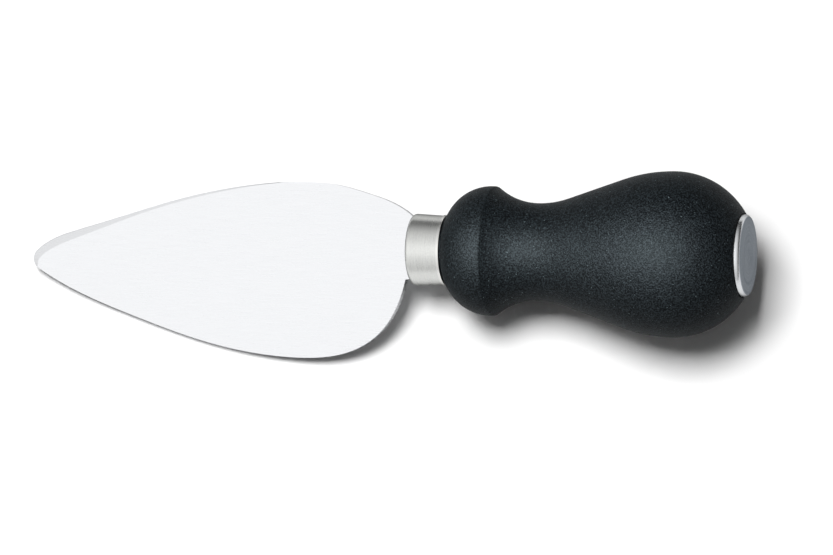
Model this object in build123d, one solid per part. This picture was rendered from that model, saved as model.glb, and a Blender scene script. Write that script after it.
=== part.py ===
"""A knife for breaking up hard cheese: spade blade, ferrule, palm handle and butt cap.

Everything is built along the knife's own axis first: X runs from the tip to the butt with the
front of the ferrule at zero, Y runs across the blade and Z is square to its flat face. The
finished pieces are then laid down together the way the knife comes to rest: on the flange and
the bulb of the handle, and rolled over until the blade's lower edge touches as well. All sizes
are in millimetres and angles in degrees.
"""
import os
from math import acos, asin, atan2, cos, degrees, hypot, radians, sin, tan

from build123d import *

# Blade outline, measured from the front of the ferrule and from the handle's axis
blade_length = 120.4
blade_thickness = 2.5
nose_radius = 3.3
nose_drop = 4.6
nose_top_angle = 132.0
nose_bottom_angle = 237.0
crown_height = 19.6
crown_from_ferrule = 36.0
belly_depth = 33.0
belly_from_ferrule = 33.5
root_top = 9.6
root_bottom = 8.7
neck_length = 2.2
neck_drop = 9.0
shoulder_angle = -42.0
heel_angle = 78.0

# The bevel ground round the nose and along the upper edge, on both faces: a flat grind at one
# angle, and a narrow steep hone at the very edge
bevel_width = 2.6
bevel_angle = 12.0
bevel_start_angle = 75.0
hone_share = 0.08
edge_land = 0.5
edge_break = 0.15

# Its width, in pairs: a share of the way along the edge, and the part of the full width there
nose_bevel = [(0, 0), (0.20, 0.52), (0.46, 0.80), (0.75, 0.94), (1, 0.96)]
wide_bevel = [(0, 0.96), (0.03, 0.97), (0.075, 1.0), (0.15, 0.91), (0.22, 0.76), (0.30, 0.59)]
thin_bevel = [(0.38, 0.44), (0.48, 0.36), (0.60, 0.32), (0.74, 0.23), (0.89, 0.10), (1, 0)]

# Tang, one piece with the blade
tang_width = 9.0
tang_clearance = 0.1

# Ferrule
ferrule_length = 10.3
ferrule_front_radius = 10.75
ferrule_rear_radius = 10.2
ferrule_wall = 0.9
ferrule_front_wall = 1.2
ferrule_edge_round = 1.0
rim_length = 0.9
rim_rise = 0.25
spigot_clearance = 0.05

# Handle, with distances along the axis from the front of the ferrule
shadow_gap = 0.65
dome_start_radius = 10.5
flange_at = 24.0
flange_radius = 19.25
flange_corner_round = 1.0
waist_at = 38.35
waist_radius = 14.4
front_waist_curve = 20.5
rear_waist_curve = 28.2
flank_angle = 19.4
bulb_at = 79.6
bulb_radius = 24.45
rear_bulb_curve = 24.35
handle_end_at = 100.4
tang_bore_clearance = 0.1

# Butt cap
cap_radius = 12.1
cap_thickness = 2.6
cap_edge_round = 1.1
cap_stand = 1.75
cap_clearance = 0.25
boss_radius = 6.0
boss_length = 8.0
boss_clearance = 0.1
tang_seat_depth = 6.0

# Places that follow from the sizes above
dome_start = ferrule_length + shadow_gap
cap_face_at = handle_end_at + cap_stand
cap_back_at = cap_face_at - cap_thickness
boss_end_at = cap_back_at - boss_length
tang_end_at = boss_end_at + tang_seat_depth


def on_circle(centre, radius, angle):
    """The point of a circle at an angle from +X."""
    return (centre[0] + radius * cos(radians(angle)), centre[1] + radius * sin(radians(angle)))


def arc(centre, radius, start, end):
    """The arc of a circle from one angle to another."""
    points = [on_circle(centre, radius, angle) for angle in (start, (start + end) / 2, end)]
    return ThreePointArc(*points)


def heading(angle):
    """A unit direction in the plane."""
    return (cos(radians(angle)), sin(radians(angle)))


def curve(points, start_heading, end_heading):
    """A smooth curve through points that leaves and arrives at given headings."""
    ends = (heading(start_heading), heading(end_heading))
    return Spline(*points, tangents=ends, tangent_scalars=(1, 1))


def between(start, end, shares):
    """The point that lies a share of the way from start to end, along and across."""
    return tuple(a + share * (b - a) for a, b, share in zip(start, end, shares))


# The blade's corners and the highest and lowest points of its outline
nose_centre = (nose_radius - blade_length, -nose_drop)
nose_top = on_circle(nose_centre, nose_radius, nose_top_angle)
nose_bottom = on_circle(nose_centre, nose_radius, nose_bottom_angle)
crown = (-crown_from_ferrule, crown_height)
belly = (-belly_from_ferrule, -belly_depth)
upper_root = (0, root_top)
lower_root = (0, -root_bottom)
neck = (-neck_length, -neck_drop)

# Circles that the handle's profile is made of
dome_run = flange_at - dome_start
dome_rise = flange_radius - dome_start_radius
dome_curve = (dome_run**2 + dome_rise**2) / (2 * dome_rise)
dome_centre = (flange_at, flange_radius - dome_curve)
waist_front_centre = (waist_at, waist_radius + front_waist_curve)
waist_rear_centre = (waist_at, waist_radius + rear_waist_curve)
bulb_rear_centre = (bulb_at, bulb_radius - rear_bulb_curve)

# The flank is straight, and touches the curve of the waist and that of the bulb
flank_start = on_circle(waist_rear_centre, rear_waist_curve, flank_angle - 90)
flank_run = (bulb_at - flank_start[0]) * sin(radians(flank_angle))
flank_rise = (bulb_radius - flank_start[1]) * cos(radians(flank_angle))
front_bulb_curve = (flank_run - flank_rise) / (1 - cos(radians(flank_angle)))
bulb_front_centre = (bulb_at, bulb_radius - front_bulb_curve)


def nose_line():
    """The nose, from the lower edge round to the upper edge."""
    return arc(nose_centre, nose_radius, nose_bottom_angle, nose_top_angle)


def upper_line():
    """The cutting edge: a quick turn behind the nose, then nearly straight up to the crown."""
    shares = [(0.06, 0.157), (0.15, 0.284), (0.33, 0.495), (0.54, 0.738), (0.75, 0.913)]
    points = [between(nose_top, crown, pair) for pair in shares]
    return curve([nose_top, *points, crown], nose_top_angle - 90, 0)


def back_lines():
    """The rest of the outline: shoulder, root, heel and lower edge, from crown to nose."""
    shoulder_shares = [(0.30, 0.045), (0.555, 0.262), (0.80, 0.555)]
    heel_shares = [(0.51, 0.115), (0.75, 0.325), (0.88, 0.555)]
    lower_shares = [(0.14, 0.256), (0.38, 0.567), (0.61, 0.814)]
    shoulder = [between(crown, upper_root, pair) for pair in shoulder_shares]
    heel = [between(belly, neck, pair) for pair in heel_shares]
    lower = [between(nose_bottom, belly, pair) for pair in lower_shares]
    return [
        curve([crown, *shoulder, upper_root], 0, shoulder_angle),
        Line(upper_root, lower_root),
        Line(lower_root, neck),
        curve([belly, *heel, neck], 0, heel_angle),
        curve([nose_bottom, *lower, belly], nose_bottom_angle - 270, 0),
    ]


def at_face(width):
    return blade_thickness / 2


def at_hone(width):
    """How high the flat grind ends where the hone begins, or at least where an edge is broken."""
    depth = (1 - hone_share) * width * tan(radians(bevel_angle))
    return blade_thickness / 2 - max(depth, edge_break)


def at_edge(width):
    return edge_land / 2


def follow(edge, widths, share_in, height_at, start_heading, end_heading, side):
    """A line on one face, a share of the bevel's width inside an edge with the blade on its right."""
    points = []
    for share, part in widths:
        width = bevel_width * part
        foot = edge @ share
        run = edge % share
        x = foot.X + run.Y * width * share_in
        y = foot.Y - run.X * width * share_in
        points.append((x, y, side * height_at(width)))
    return curve(points, start_heading, end_heading)


def outline(share_in, height_at, side):
    """The whole outline at one level of one face, with the bevel's line for its ground side."""
    turn = nose_top_angle - 90
    edge_start = nose_bottom_angle - 90
    start = edge_start + share_in * (bevel_start_angle - edge_start)
    ground = [
        follow(nose_line(), nose_bevel, share_in, height_at, start, turn, side),
        follow(upper_line(), wide_bevel + thin_bevel, share_in, height_at, turn, 0, side),
    ]
    back = [Pos(0, 0, side * height_at(0)) * line.edge() for line in back_lines()]
    return Wire([line.edge() for line in ground] + back)


def make_blade():
    """The plate with its bevels, and the flat tang that runs to the butt cap."""
    levels = [(1, at_face), (hone_share, at_hone), (0, at_edge)]
    lower_face = [outline(share_in, height_at, -1) for share_in, height_at in levels]
    upper_face = [outline(share_in, height_at, 1) for share_in, height_at in reversed(levels)]
    plate = Solid.make_loft(lower_face + upper_face, ruled=True)
    tang = Pos(tang_end_at / 2, 0, 0) * Box(tang_end_at, tang_width, blade_thickness)
    return plate + tang


def make_ferrule():
    """A drawn cup, closed in front but for the tang's slot, with a raised rim at the rear."""
    taper = (ferrule_front_radius - ferrule_rear_radius) / ferrule_length
    rim_at = ferrule_length - rim_length
    radius_at_rim = ferrule_front_radius - taper * rim_at
    outer = Polyline(
        (0, 0),
        (0, ferrule_front_radius),
        (rim_at, radius_at_rim),
        (rim_at, ferrule_rear_radius + rim_rise),
        (ferrule_length, ferrule_rear_radius + rim_rise),
        (ferrule_length, ferrule_rear_radius - ferrule_wall),
        (ferrule_front_wall, ferrule_rear_radius - ferrule_wall),
        (ferrule_front_wall, 0),
        close=True,
    )
    half = make_face(outer.edges())
    corner = half.vertices().sort_by_distance((0, ferrule_front_radius))[0]
    cup = revolve(fillet(corner, ferrule_edge_round), Axis.X)
    slot_width = tang_width + 2 * tang_clearance
    slot_height = blade_thickness + 2 * tang_clearance
    return cup - Box(3 * ferrule_front_wall, slot_width, slot_height)


def handle_profile():
    """Half of the handle's section: spigot, dome, flange, waist, flank, bulb and cap seat."""
    spigot_radius = ferrule_rear_radius - ferrule_wall - spigot_clearance

    # The flange's corner is where the dome first meets the front curve of the waist
    gap_x = waist_front_centre[0] - dome_centre[0]
    gap_y = waist_front_centre[1] - dome_centre[1]
    apart = hypot(gap_x, gap_y)
    along = (dome_curve**2 - front_waist_curve**2 + apart**2) / (2 * apart)
    corner_angle = degrees(atan2(gap_y, gap_x) + acos(along / dome_curve))
    corner = on_circle(dome_centre, dome_curve, corner_angle)
    dip = (corner[0] - waist_at, corner[1] - waist_front_centre[1])
    dip_angle = degrees(atan2(dip[1], dip[0])) % 360
    end_angle = degrees(acos((handle_end_at - bulb_at) / rear_bulb_curve))
    start_angle = degrees(atan2(dome_start_radius - dome_centre[1], dome_start - dome_centre[0]))

    dome = arc(dome_centre, dome_curve, start_angle, corner_angle)
    front_dip = arc(waist_front_centre, front_waist_curve, dip_angle, 270)
    rear_dip = arc(waist_rear_centre, rear_waist_curve, 270, 270 + flank_angle)
    front_bulb = arc(bulb_front_centre, front_bulb_curve, 90 + flank_angle, 90)
    rear_bulb = arc(bulb_rear_centre, rear_bulb_curve, 90, end_angle)
    flank = Line(rear_dip @ 1, front_bulb @ 0)
    seat_radius = cap_radius + cap_clearance
    inside = Polyline(
        rear_bulb @ 1,
        (handle_end_at, seat_radius),
        (cap_back_at, seat_radius),
        (cap_back_at, 0),
        (ferrule_front_wall, 0),
        (ferrule_front_wall, spigot_radius),
        (dome_start, spigot_radius),
        dome @ 0,
    )
    lines = [dome, front_dip, rear_dip, flank, front_bulb, rear_bulb, *inside.edges()]
    return make_face([line.edge() for line in lines]), corner


def make_handle():
    """One moulding, bored for the tang and for the boss of the cap."""
    half, corner = handle_profile()
    flange_corner = half.vertices().sort_by_distance(corner)[0]
    body = revolve(fillet(flange_corner, flange_corner_round), Axis.X)
    bore_width = tang_width + 2 * tang_bore_clearance
    bore_height = blade_thickness + 2 * tang_bore_clearance
    tang_bore = Pos(tang_end_at / 2, 0, 0) * Box(tang_end_at, bore_width, bore_height)
    boss_bore = rod(boss_radius + boss_clearance, boss_end_at - boss_clearance, cap_face_at)
    return body - tang_bore - boss_bore


def rod(radius, start, end):
    """A round bar on the knife's axis."""
    return Pos((start + end) / 2, 0, 0) * Rot(0, 90, 0) * Cylinder(radius, end - start)


def make_butt_cap():
    """A disc with a rounded rim, on a boss that takes the end of the tang."""
    disc = rod(cap_radius, cap_back_at, cap_face_at)
    disc = fillet(disc.edges().filter_by(GeomType.CIRCLE), cap_edge_round)
    boss = rod(boss_radius, boss_end_at, cap_face_at - cap_thickness / 2)
    slot_width = tang_width + 2 * tang_clearance
    slot_height = blade_thickness + 2 * tang_clearance
    slot = Box(2 * tang_seat_depth, slot_width, slot_height)
    return disc + boss - Pos(boss_end_at, 0, 0) * slot


def rest_tilt():
    """How far the axis rises towards the butt with flange and bulb on the table."""
    reach = bulb_front_centre[0] - dome_centre[0]
    drop = dome_centre[1] - bulb_front_centre[1]
    lift = front_bulb_curve - dome_curve
    return degrees(asin(lift / hypot(reach, drop)) - atan2(drop, reach))


def rest_roll(tilt):
    """How far the knife rolls over before the blade's lower edge touches the table."""
    along, up = heading(tilt)
    axis_height = front_bulb_curve + bulb_front_centre[1] * along - bulb_at * up
    lower = back_lines()[-1]
    rolls = []
    for step in range(101):
        point = lower @ (step / 100)
        height = (axis_height + point.X * up) / along
        reach = hypot(point.Y, blade_thickness / 2)
        if height < reach:
            rolls.append(asin(height / reach) - atan2(blade_thickness / 2, -point.Y))
    return degrees(min(rolls))


knife = {
    "blade": make_blade(),
    "ferrule": make_ferrule(),
    "handle": make_handle(),
    "butt_cap": make_butt_cap(),
}

# Lay the knife down and put the origin under the middle of its bounding box
tilt = rest_tilt()
rest = Rot(0, -tilt, 0) * Rot(rest_roll(tilt), 0, 0)
laid = {name: rest * piece for name, piece in knife.items()}
box = Compound(children=[Part() + piece for piece in laid.values()]).bounding_box()
middle = box.center()
os.makedirs("parts", exist_ok=True)
for name, piece in laid.items():
    export_step(Pos(-middle.X, -middle.Y, -box.min.Z) * piece, f"parts/{name}.step")
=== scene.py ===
import math

import bpy
from mathutils import Matrix, Vector

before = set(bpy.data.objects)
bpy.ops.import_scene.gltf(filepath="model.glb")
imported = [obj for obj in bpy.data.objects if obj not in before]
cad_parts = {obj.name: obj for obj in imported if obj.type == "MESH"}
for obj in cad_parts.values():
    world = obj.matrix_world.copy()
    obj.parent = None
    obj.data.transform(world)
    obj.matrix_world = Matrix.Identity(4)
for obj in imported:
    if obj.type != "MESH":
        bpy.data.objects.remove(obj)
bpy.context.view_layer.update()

# How the knife lies: the front of its ferrule, the rise of its axis and its roll about it
FERRULE_FRONT = Vector((0.008492, 0.003542, 0.016929))
RISE = math.radians(5.4942)
ROLL = math.radians(19.4390)
LIE = Matrix.Rotation(-RISE, 3, "Y") @ Matrix.Rotation(ROLL, 3, "X")

# The camera, set from the photograph against the knife's own axes
PHOTO_WIDTH = 833
LOOK_AT = Vector((0.858, -8.313, 0.0)) * 0.001
CAMERA_DISTANCE = 1.731
CAMERA_LEAN = math.radians(16.6)
CAMERA_TWIST = math.radians(1.134)
FOCAL_PIXELS = 5814
SENSOR_WIDTH = 36.0

TABLE_HALF_WIDTH = 1.2

# The lamps: how far off they hang, how large they are and how bright each looks
LAMP_DISTANCE = 1.5
SOFTBOX_SIZE = (0.65, 0.65)
SOFTBOX_RADIANCE = 20.2
SHEEN_SIZE = (2.0, 1.0)
SHEEN_RADIANCE = 66.0

# The studio as metal and plastic see it: degrees from its centre, and how bright it is there
STUDIO = [(0, 1.36), (10, 1.34), (32, 1.02), (47, 0.88), (61, 0.70), (77, 0.38), (92, 0.12),
          (105, 0.06), (180, 0.06)]
# What it adds to the softbox's light on matt surfaces
STUDIO_FILL = 0.10

# Where the painted highlight starts on the ferrule, behind its front, and where the polish and the
# painted highlight start on the cap, out from its axis
FERRULE_RIM = 0.0096
CAP_RIM = 0.0116
POLISH_AND_HIGHLIGHT_FADE = 0.0001


def place_camera():
    """A long lens that looks down on the knife, leaning towards its butt."""
    lean, twist = CAMERA_LEAN, CAMERA_TWIST
    back = LIE @ Vector((math.sin(lean), 0, math.cos(lean)))
    along = LIE @ Vector((math.cos(lean), 0, -math.sin(lean)))
    across = LIE @ Vector((0, 1, 0))
    right = along * math.cos(twist) + across * math.sin(twist)
    up = across * math.cos(twist) - along * math.sin(twist)
    eye = FERRULE_FRONT + LIE @ LOOK_AT + back * CAMERA_DISTANCE
    data = bpy.data.cameras.new("camera")
    data.sensor_width = SENSOR_WIDTH
    data.lens = FOCAL_PIXELS * SENSOR_WIDTH / PHOTO_WIDTH
    camera = bpy.data.objects.new("camera", data)
    turn = Matrix((right, up, back)).transposed().to_4x4()
    camera.matrix_world = Matrix.Translation(eye) @ turn
    bpy.context.scene.collection.objects.link(camera)
    bpy.context.scene.camera = camera


def colour(code):
    """A linear colour from an sRGB hex code."""
    parts = [int(code[i:i + 2], 16) / 255 for i in (1, 3, 5)]
    linear = [p / 12.92 if p <= 0.04045 else ((p + 0.055) / 1.055) ** 2.4 for p in parts]
    return (*linear, 1.0)


def add(tree, kind, inputs=None, **settings):
    """Adds a node, with its settings, and its inputs as values or as other nodes' sockets."""
    node = tree.nodes.new(kind)
    for name, value in settings.items():
        setattr(node, name, value)
    for key, value in (inputs or {}).items():
        named = [s for s in node.inputs if s.name == key and s.enabled]
        socket = named[0] if named else node.inputs[key]
        if isinstance(value, bpy.types.NodeSocket):
            tree.links.new(value, socket)
        else:
            socket.default_value = value
    return node


def new_material(name):
    """An empty material with its output and its Principled shader."""
    material = bpy.data.materials.new(name)
    material.use_nodes = True
    tree = material.node_tree
    tree.nodes.clear()
    shader = add(tree, "ShaderNodeBsdfPrincipled")
    add(tree, "ShaderNodeOutputMaterial", {"Surface": shader.outputs[0]})
    return material, tree, shader


def knife_axes(tree, scale=(1, 1, 1)):
    """Object coordinates turned to the knife's own axes, X along it and Z square to the blade."""
    place = add(tree, "ShaderNodeTexCoord")
    return add(tree, "ShaderNodeMapping", {
        "Vector": place.outputs["Object"],
        "Location": FERRULE_FRONT,
        "Rotation": LIE.to_euler(),
        "Scale": scale,
    }, vector_type="TEXTURE").outputs[0]


def around_the_axis(tree, along, around):
    """A vector for patterns that go round the knife: along its axis, around it, and out from it."""
    spot = add(tree, "ShaderNodeSeparateXYZ", {"Vector": knife_axes(tree)})
    turn = add(tree, "ShaderNodeMath", {
        0: spot.outputs["Y"], 1: spot.outputs["Z"]}, operation="ARCTAN2")
    across = add(tree, "ShaderNodeCombineXYZ", {"X": spot.outputs["Y"], "Y": spot.outputs["Z"]})
    out = add(tree, "ShaderNodeVectorMath", {0: across.outputs[0]}, operation="LENGTH")
    place = add(tree, "ShaderNodeCombineXYZ", {
        "X": spot.outputs["X"], "Y": turn.outputs[0], "Z": out.outputs["Value"]})
    return add(tree, "ShaderNodeMapping", {
        "Vector": place.outputs[0], "Scale": (1 / along, 1 / around, 1 / along)}).outputs[0]


def satin_ground_stainless():
    """Blade: stainless strip, ground flat and finished fine, so it shows white surroundings."""
    material, tree, shader = new_material("satin_ground_stainless")
    shader.inputs["Base Color"].default_value = colour("#DADBDD")
    shader.inputs["Metallic"].default_value = 1.0
    shader.inputs["Specular Tint"].default_value = colour("#B0B0B0")
    # Grinding lines run along the blade. Real ones are about 0.05 mm apart; drawn at 0.2 mm
    line_length, line_width = 0.008, 0.0002
    grain = add(tree, "ShaderNodeTexNoise", {
        "Vector": knife_axes(tree, (line_length, line_width, line_length)),
        "Scale": 1.0, "Detail": 3.0,
    })
    rough = add(tree, "ShaderNodeMapRange", {
        "Value": grain.outputs["Fac"], "From Min": 0.3, "From Max": 0.7,
        "To Min": 0.22, "To Max": 0.30,
    })
    bump = add(tree, "ShaderNodeBump", {
        "Height": grain.outputs["Fac"], "Strength": 0.04, "Distance": 0.00002,
    })
    tree.links.new(rough.outputs[0], shader.inputs["Roughness"])
    tree.links.new(bump.outputs[0], shader.inputs["Normal"])
    return material


def satin_drawn_stainless():
    """Ferrule: a drawn steel cup, brushed round its axis to a soft satin, its rear rim painted
    lighter as a painted highlight.
    """
    material, tree, shader = new_material("satin_drawn_stainless")
    shader.inputs["Metallic"].default_value = 1.0
    shader.inputs["Specular Tint"].default_value = colour("#707070")
    # Brushing goes round the cup; real lines are about 0.05 mm apart, drawn at 0.25 mm
    line_width, line_turn = 0.00025, 0.7
    brush = add(tree, "ShaderNodeTexNoise", {
        "Vector": around_the_axis(tree, line_width, line_turn), "Scale": 1.0, "Detail": 3.0,
    })
    # Drawing the cup leaves the steel faintly mottled, in grains of about 0.4 mm
    mottle_size = 0.0004
    mottle = add(tree, "ShaderNodeTexNoise", {
        "Vector": knife_axes(tree, (mottle_size,) * 3), "Scale": 1.0, "Detail": 2.0,
    })
    mark = add(tree, "ShaderNodeMath", {
        0: brush.outputs["Fac"], 1: mottle.outputs["Fac"]}, operation="ADD")
    tone = add(tree, "ShaderNodeMapRange", {
        "Value": mark.outputs[0], "From Min": 0.7, "From Max": 1.3})
    steel = add(tree, "ShaderNodeMix", {
        "Factor": tone.outputs[0], "A": colour("#CBCCCA"), "B": colour("#DADBD8"),
    }, data_type="RGBA")
    # The raised rim at its rear is painted lighter, a painted highlight that shows as a thin bright
    # ring
    spot = add(tree, "ShaderNodeSeparateXYZ", {"Vector": knife_axes(tree)})
    rim = add(tree, "ShaderNodeMapRange", {
        "Value": spot.outputs["X"], "From Min": FERRULE_RIM - POLISH_AND_HIGHLIGHT_FADE,
        "From Max": FERRULE_RIM,
    })
    steel = add(tree, "ShaderNodeMix", {
        "Factor": rim.outputs[0], "A": steel.outputs[2], "B": colour("#E0E0DD"),
    }, data_type="RGBA")
    rough = add(tree, "ShaderNodeMapRange", {
        "Value": brush.outputs["Fac"], "From Min": 0.3, "From Max": 0.7,
        "To Min": 0.26, "To Max": 0.36,
    })
    bump = add(tree, "ShaderNodeBump", {
        "Height": mark.outputs[0], "Strength": 0.18, "Distance": 0.00003,
    })
    tree.links.new(steel.outputs[2], shader.inputs["Base Color"])
    tree.links.new(rough.outputs[0], shader.inputs["Roughness"])
    tree.links.new(bump.outputs[0], shader.inputs["Normal"])
    return material


def grained_polypropylene():
    """Handle: black polypropylene moulded against a spark-eroded tool, matt with a fine grain."""
    material, tree, shader = new_material("grained_polypropylene")
    # The grain shades itself at a low angle, so the outline shines back less than smooth
    # polypropylene does, whose IOR is 1.49
    shader.inputs["IOR"].default_value = 1.15
    shader.inputs["Specular Tint"].default_value = colour("#D8EAF2")
    # The moulded grain is about 0.1 mm across; drawn at 0.45 mm
    grain_size = 0.00045
    grain = add(tree, "ShaderNodeTexNoise", {
        "Vector": knife_axes(tree, (grain_size,) * 3), "Scale": 1.0, "Detail": 3.0,
    })
    tone = add(tree, "ShaderNodeMapRange", {
        "Value": grain.outputs["Fac"], "From Min": 0.42, "From Max": 0.72})
    black = add(tree, "ShaderNodeMix", {
        "Factor": tone.outputs[0], "A": colour("#020304"), "B": colour("#151C20"),
    }, data_type="RGBA")
    # The peaks of the grain are worn smooth and shine back more than its hollows
    shine = add(tree, "ShaderNodeMapRange", {
        "Value": grain.outputs["Fac"], "From Min": 0.42, "From Max": 0.72,
        "To Min": 0.28, "To Max": 1.0,
    })
    # Here and there the grain is painted with a pale speck about 0.4 mm across, a painted glint
    glint_spacing = 0.0007
    glint_noise = add(tree, "ShaderNodeTexNoise", {
        "Vector": knife_axes(tree, (glint_spacing,) * 3), "Scale": 1.0, "Detail": 1.0,
    })
    painted_glints = add(tree, "ShaderNodeMapRange", {
        "Value": glint_noise.outputs["Fac"], "From Min": 0.72, "From Max": 0.78})
    skin = add(tree, "ShaderNodeMix", {
        "Factor": painted_glints.outputs[0], "A": black.outputs[2], "B": colour("#4A5558"),
    }, data_type="RGBA")
    rough = add(tree, "ShaderNodeMapRange", {
        "Value": grain.outputs["Fac"], "From Min": 0.3, "From Max": 0.7,
        "To Min": 0.50, "To Max": 0.66,
    })
    bump = add(tree, "ShaderNodeBump", {
        "Height": grain.outputs["Fac"], "Strength": 0.8, "Distance": 0.0002,
    })
    tree.links.new(shine.outputs[0], shader.inputs["Specular IOR Level"])
    tree.links.new(skin.outputs[2], shader.inputs["Base Color"])
    tree.links.new(rough.outputs[0], shader.inputs["Roughness"])
    tree.links.new(bump.outputs[0], shader.inputs["Normal"])
    return material


def blasted_stainless_with_painted_light():
    """Butt cap: a turned steel disc, its face blasted dull and its grey painted darker as painted
    shade, its rounded rim polished and painted lighter as a painted highlight.
    """
    material, tree, shader = new_material("blasted_stainless_with_painted_light")
    shader.inputs["Metallic"].default_value = 1.0
    shader.inputs["Specular Tint"].default_value = colour("#969696")
    # Blasting leaves dimples of about 0.1 mm; drawn at 0.3 mm
    dimple_size = 0.0003
    dimples = add(tree, "ShaderNodeTexNoise", {
        "Vector": knife_axes(tree, (dimple_size,) * 3), "Scale": 1.0, "Detail": 2.0,
    })
    # Under them the turning shows faintly, as rings about 0.5 mm apart
    ring_width, ring_turn = 0.0005, 2.0
    rings = add(tree, "ShaderNodeTexNoise", {
        "Vector": around_the_axis(tree, ring_width, ring_turn), "Scale": 1.0, "Detail": 1.0,
    })
    mark = add(tree, "ShaderNodeMath", {
        0: dimples.outputs["Fac"], 1: rings.outputs["Fac"]}, operation="ADD")
    tone = add(tree, "ShaderNodeMapRange", {
        "Value": mark.outputs[0], "From Min": 0.7, "From Max": 1.3})
    # The face's grey is painted darker than bare steel, as painted shade
    steel = add(tree, "ShaderNodeMix", {
        "Factor": tone.outputs[0], "A": colour("#858C93"), "B": colour("#A4A9AF"),
    }, data_type="RGBA")
    # The rim was polished on a wheel after blasting, and its colour is painted lighter there as a
    # painted highlight, so it shows as a bright crescent
    spot = add(tree, "ShaderNodeSeparateXYZ", {"Vector": around_the_axis(tree, 1.0, 1.0)})
    rim = add(tree, "ShaderNodeMapRange", {
        "Value": spot.outputs["Z"], "From Min": CAP_RIM - POLISH_AND_HIGHLIGHT_FADE, "From Max": CAP_RIM})
    steel = add(tree, "ShaderNodeMix", {
        "Factor": rim.outputs[0], "A": steel.outputs[2], "B": colour("#D6D8DA"),
    }, data_type="RGBA")
    rough = add(tree, "ShaderNodeMapRange", {
        "Value": rim.outputs[0], "To Min": 0.42, "To Max": 0.25})
    bump = add(tree, "ShaderNodeBump", {
        "Height": mark.outputs[0], "Strength": 0.3, "Distance": 0.00004,
    })
    tree.links.new(steel.outputs[2], shader.inputs["Base Color"])
    tree.links.new(rough.outputs[0], shader.inputs["Roughness"])
    tree.links.new(bump.outputs[0], shader.inputs["Normal"])
    return material


def white_table():
    """The pale surface under the knife."""
    material, tree, shader = new_material("white_table")
    shader.inputs["Base Color"].default_value = colour("#F6F6F6")
    shader.inputs["Roughness"].default_value = 0.9
    return material


def dress_the_knife():
    finishes = {
        "blade": satin_ground_stainless(),
        "ferrule": satin_drawn_stainless(),
        "handle": grained_polypropylene(),
        "butt_cap": blasted_stainless_with_painted_light(),
    }
    for node, finish in finishes.items():
        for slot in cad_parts[node].material_slots:
            slot.material = finish


def lay_the_table():
    half = TABLE_HALF_WIDTH
    corners = [(-half, -half, 0), (half, -half, 0), (half, half, 0), (-half, half, 0)]
    mesh = bpy.data.meshes.new("table")
    mesh.from_pydata(corners, [], [(0, 1, 2, 3)])
    mesh.materials.append(white_table())
    table = bpy.data.objects.new("table", mesh)
    bpy.context.scene.collection.objects.link(table)


def hang_lamp(name, toward, across, size, radiance):
    """A flat lamp, square to its way from the ferrule, with a side along the knife."""
    data = bpy.data.lights.new(name, "AREA")
    data.shape = "RECTANGLE"
    data.size, data.size_y = size
    data.energy = radiance * math.pi * size[0] * size[1]
    lamp = bpy.data.objects.new(name, data)
    up = toward.normalized()
    along = across.cross(up).normalized()
    turn = Matrix((along, up.cross(along), up)).transposed().to_4x4()
    lamp.matrix_world = Matrix.Translation(FERRULE_FRONT + up * LAMP_DISTANCE) @ turn
    bpy.context.scene.collection.objects.link(lamp)
    return lamp


def hang_the_lamps():
    """A softbox for the scene, and one that only the grain of the handle shines back."""
    across = LIE @ Vector((0, 1, 0))
    over_the_knife = Vector((-0.12, 0.07, 1.0))
    softbox = hang_lamp("softbox", over_the_knife, across, SOFTBOX_SIZE, SOFTBOX_RADIANCE)
    softbox.visible_glossy = False
    over_the_handle = LIE @ Vector((-0.16, 0.05, 0.97))
    sheen = hang_lamp("handle_sheen", over_the_handle, across, SHEEN_SIZE, SHEEN_RADIANCE)
    sheen.visible_diffuse = False
    plastic = bpy.data.collections.new("shines_back")
    plastic.objects.link(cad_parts["handle"])
    sheen.light_linking.receiver_collection = plastic


def surround_with_studio():
    """A white softbox over the knife as metal and plastic see it, fading to a dim room."""
    world = bpy.data.worlds.new("studio")
    bpy.context.scene.world = world
    world.use_nodes = True
    tree = world.node_tree
    tree.nodes.clear()
    way = add(tree, "ShaderNodeTexCoord").outputs["Generated"]
    centre = LIE @ Vector((-0.31, -0.03, 0.95)).normalized()
    near = add(tree, "ShaderNodeVectorMath", {0: way, 1: centre}, operation="DOT_PRODUCT")
    angle = add(tree, "ShaderNodeMath", {0: near.outputs["Value"]}, operation="ARCCOSINE")
    glow = add(tree, "ShaderNodeValToRGB", {"Fac": add(tree, "ShaderNodeMath", {
        0: angle.outputs[0], 1: math.pi}, operation="DIVIDE").outputs[0]})
    ramp = glow.color_ramp
    ramp.interpolation = "EASE"
    while len(ramp.elements) < len(STUDIO):
        ramp.elements.new(0.5)
    for element, (degrees, level) in zip(ramp.elements, STUDIO):
        element.position = degrees / 180
        element.color = (level, level, level, 1)
    path = add(tree, "ShaderNodeLightPath")
    level = add(tree, "ShaderNodeMix", {
        "Factor": path.outputs["Is Diffuse Ray"], "A": glow.outputs["Color"],
        "B": (STUDIO_FILL, STUDIO_FILL, STUDIO_FILL, 1),
    }, data_type="RGBA")
    back = add(tree, "ShaderNodeBackground", {"Color": level.outputs[2]})
    add(tree, "ShaderNodeOutputWorld", {"Surface": back.outputs[0]})


place_camera()
dress_the_knife()
lay_the_table()
hang_the_lamps()
surround_with_studio()
bpy.context.scene.view_settings.view_transform = "Standard"
